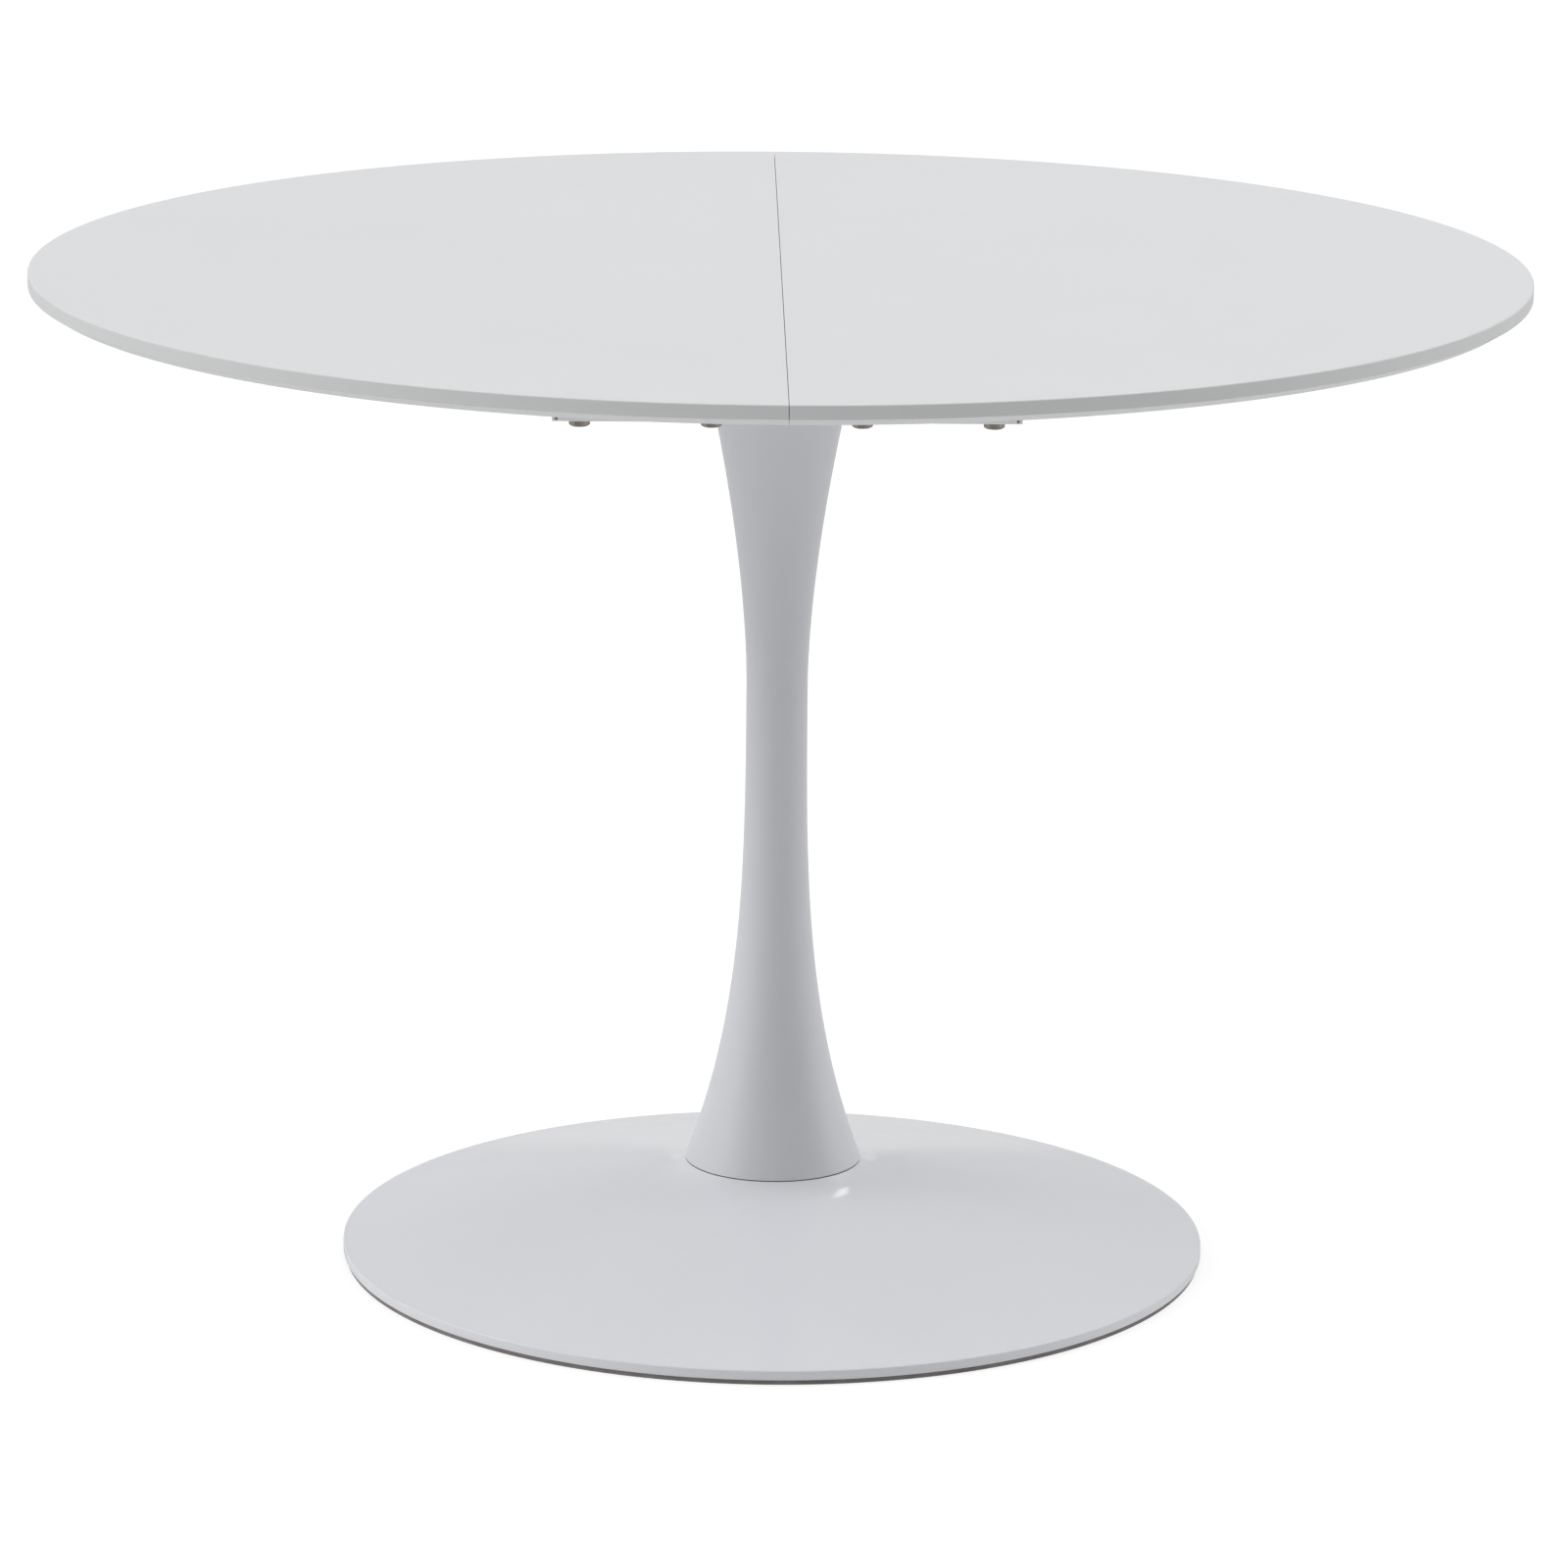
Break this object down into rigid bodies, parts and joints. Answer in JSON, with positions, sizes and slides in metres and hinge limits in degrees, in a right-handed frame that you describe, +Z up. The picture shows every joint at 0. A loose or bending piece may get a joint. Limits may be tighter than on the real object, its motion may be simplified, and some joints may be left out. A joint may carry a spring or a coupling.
{
  "type": "extending round pedestal table",
  "caption": "Round dining table on a trumpet column and a flared disc base, whose top parts at a seam and slides open for a leaf.",
  "frame": {"origin": "on the floor, on the column's axis", "axes": "+Z up; X is the way the two halves of the top slide apart, and Y runs along the seam; front is -Y"},
  "size_m": [1.1, 1.1, 0.755],
  "materials": {
    "top_lacquer": "satin white lacquer on fibreboard",
    "column_coat": "smooth white powder coat",
    "cover_gloss": "high gloss white lacquer",
    "frame_coat": "light grey powder coat",
    "beech": "planed beech",
    "zinc": "zinc plate, slightly yellow",
    "raw_steel": "raw steel plate",
    "pad_rubber": "matt dark rubber"
  },
  "bodies": {
    "left_half": {"left_top": "top_lacquer", "front_left_runner": "beech", "back_left_runner": "beech", "seam_pin_1": "beech", "seam_pin_2": "beech", "seam_pin_3": "beech", "seam_pin_4": "beech", "runner_screw_1": "zinc", "runner_screw_2": "zinc", "runner_screw_5": "zinc", "runner_screw_6": "zinc", "stop_stud_1": "zinc", "stop_stud_3": "zinc", "front_latch_pivot": "zinc", "back_latch_pivot": "zinc"},
    "right_half": {"right_top": "top_lacquer", "front_right_runner": "beech", "back_right_runner": "beech", "runner_screw_3": "zinc", "runner_screw_4": "zinc", "runner_screw_7": "zinc", "runner_screw_8": "zinc", "stop_stud_2": "zinc", "stop_stud_4": "zinc", "front_latch_keeper": "zinc", "back_latch_keeper": "zinc"},
    "pedestal": {"column": "column_coat", "base_cover": "cover_gloss", "front_crossbar": "frame_coat", "back_crossbar": "frame_coat", "mounting_plate": "frame_coat", "left_rib": "frame_coat", "right_rib": "frame_coat", "front_rail": "beech", "back_rail": "beech", "rail_bolt_1": "zinc", "rail_bolt_2": "zinc", "rail_bolt_3": "zinc", "rail_bolt_4": "zinc", "rail_bolt_5": "zinc", "rail_bolt_6": "zinc", "rail_bolt_7": "zinc", "rail_bolt_8": "zinc", "stop_plate_1": "zinc", "stop_plate_2": "zinc", "stop_plate_3": "zinc", "stop_plate_4": "zinc", "tie_rod": "zinc", "top_washer": "zinc", "top_nut": "zinc", "bottom_washer": "zinc", "bottom_nut": "zinc", "base_plate": "raw_steel", "ballast_plate": "raw_steel", "foot_socket": "raw_steel", "top_spigot": "raw_steel", "base_pad": "pad_rubber"},
    "front_latch": {"front_latch_hook": "zinc"},
    "back_latch": {"back_latch_hook": "zinc"}
  },
  "joints": [
    {"name": "left_half_slide", "type": "slide", "parent": "pedestal", "child": "left_half", "axis": [-1, 0, 0], "range_m": [0, 0.2]},
    {"name": "right_half_slide", "type": "slide", "parent": "pedestal", "child": "right_half", "axis": [1, 0, 0], "range_m": [0, 0.2]},
    {"name": "front_latch_swing", "type": "hinge", "parent": "left_half", "child": "front_latch", "pos_m": [-0.03, -0.36, 0.7345], "axis": [0, 0, -1], "range_deg": [0, 75]},
    {"name": "back_latch_swing", "type": "hinge", "parent": "left_half", "child": "back_latch", "pos_m": [-0.03, 0.36, 0.7345], "axis": [0, 0, 1], "range_deg": [0, 75]}
  ]
}
